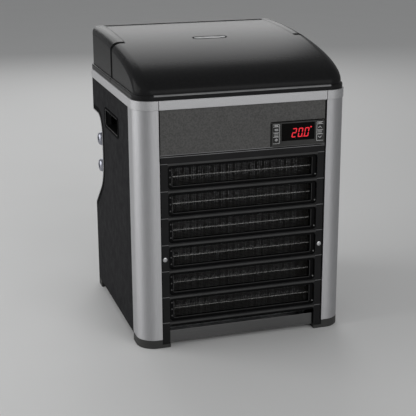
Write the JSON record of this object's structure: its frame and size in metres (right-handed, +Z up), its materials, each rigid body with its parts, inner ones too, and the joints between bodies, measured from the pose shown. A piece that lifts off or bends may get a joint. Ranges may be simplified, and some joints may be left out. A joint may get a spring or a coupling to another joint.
{
  "type": "aquarium chiller",
  "caption": "Cabinet chiller for aquarium water with a hinged black hood, metal trim and posts, a front condenser grille and a digital controller.",
  "frame": {"origin": "on the floor at the middle of the footprint", "axes": "+Z up, the grille and the controller face -Y, the hose connectors are on the -X side"},
  "size_m": [0.3, 0.3, 0.408],
  "materials": {
    "painted_steel": "satin grey paint",
    "foot_plastic": "fine moulded texture",
    "anodised_aluminium": "fine brushed and anodised",
    "panel_grey": "fine grained texture",
    "control_grey": "fine grained texture",
    "black_plastic": "satin moulded",
    "black_gloss": "gloss",
    "filter_plastic": "satin moulded",
    "net_black": "fine woven net",
    "screw_steel": "bright zinc plated",
    "display_glass": "gloss",
    "key_rubber": "satin",
    "connector_metal": "satin grey moulded",
    "hood_black": "satin black",
    "badge_silver": "satin",
    "galvanised_steel": "galvanised",
    "compressor_black": "black paint",
    "grommet_rubber": "matte",
    "fin_aluminium": "mill finish",
    "coil_titanium": "smooth drawn titanium tube",
    "copper": "bright copper",
    "motor_grey": "satin paint",
    "fan_plastic": "satin moulded",
    "canister_plastic": "satin moulded"
  },
  "bodies": {
    "cabinet": {"base_pan": "painted_steel", "foot_front_left": "foot_plastic", "foot_front_right": "foot_plastic", "foot_rear_left": "foot_plastic", "foot_rear_right": "foot_plastic", "post_front_left": "anodised_aluminium", "post_front_right": "anodised_aluminium", "left_panel": "panel_grey", "right_panel": "panel_grey", "rear_panel": "panel_grey", "trim_front": "anodised_aluminium", "trim_rear": "anodised_aluminium", "trim_left": "anodised_aluminium", "trim_right": "anodised_aluminium", "control_panel": "control_grey", "front_grille": "black_plastic", "grille_screws": "screw_steel", "filter_frame": "filter_plastic", "filter_net": "net_black", "controller_bezel": "black_gloss", "controller_case": "black_plastic", "display_window": "display_glass", "left_handle_cup": "black_plastic", "right_handle_cup": "black_plastic", "hose_recess": "black_plastic", "inlet_connector": "connector_metal", "outlet_connector": "connector_metal", "union_nuts": "connector_metal", "hood_rear_frame": "hood_black", "frame_hinge_leaf": "black_plastic", "hinge_pin": "screw_steel", "top_deck": "galvanised_steel", "compressor": "compressor_black", "compressor_grommets": "grommet_rubber", "condenser_fins": "fin_aluminium", "condenser_tubes": "copper", "condenser_end_plates": "galvanised_steel", "fan_shroud": "galvanised_steel", "fan_motor": "motor_grey", "fan_bracket": "galvanised_steel", "evaporator_canister": "canister_plastic", "evaporator_coil": "coil_titanium", "evaporator_cap": "black_plastic", "cap_seal": "grommet_rubber", "filter_drier": "copper", "discharge_pipe": "copper", "liquid_pipe": "copper", "capillary_pipe": "copper", "suction_pipe": "copper", "electrics_box": "galvanised_steel", "mains_inlet": "black_plastic", "rear_screws": "screw_steel"},
    "lid": {"hood_lid": "hood_black", "lid_badge": "badge_silver", "lid_hinge_leaf": "black_plastic"},
    "key_set": {"key_set": "key_rubber"},
    "key_standby": {"key_standby": "key_rubber"},
    "key_up": {"key_up": "key_rubber"},
    "key_down": {"key_down": "key_rubber"},
    "fan": {"fan_rotor": "fan_plastic"}
  },
  "joints": [
    {"name": "lid_hinge", "type": "hinge", "parent": "cabinet", "child": "lid", "pos_m": [0, 0.1361, 0.4061], "axis": [-1, 0, 0], "range_deg": [0, 80]},
    {"name": "key_set_press", "type": "slide", "parent": "cabinet", "child": "key_set", "axis": [0, 1, 0], "range_m": [0, 0.0006], "stiffness_N_per_m": 600},
    {"name": "key_standby_press", "type": "slide", "parent": "cabinet", "child": "key_standby", "axis": [0, 1, 0], "range_m": [0, 0.0006], "stiffness_N_per_m": 600},
    {"name": "key_up_press", "type": "slide", "parent": "cabinet", "child": "key_up", "axis": [0, 1, 0], "range_m": [0, 0.0006], "stiffness_N_per_m": 600},
    {"name": "key_down_press", "type": "slide", "parent": "cabinet", "child": "key_down", "axis": [0, 1, 0], "range_m": [0, 0.0006], "stiffness_N_per_m": 600},
    {"name": "fan_spin", "type": "hinge", "parent": "cabinet", "child": "fan", "pos_m": [0, -0.08, 0.1435], "axis": [0, 1, 0], "continuous": true}
  ]
}
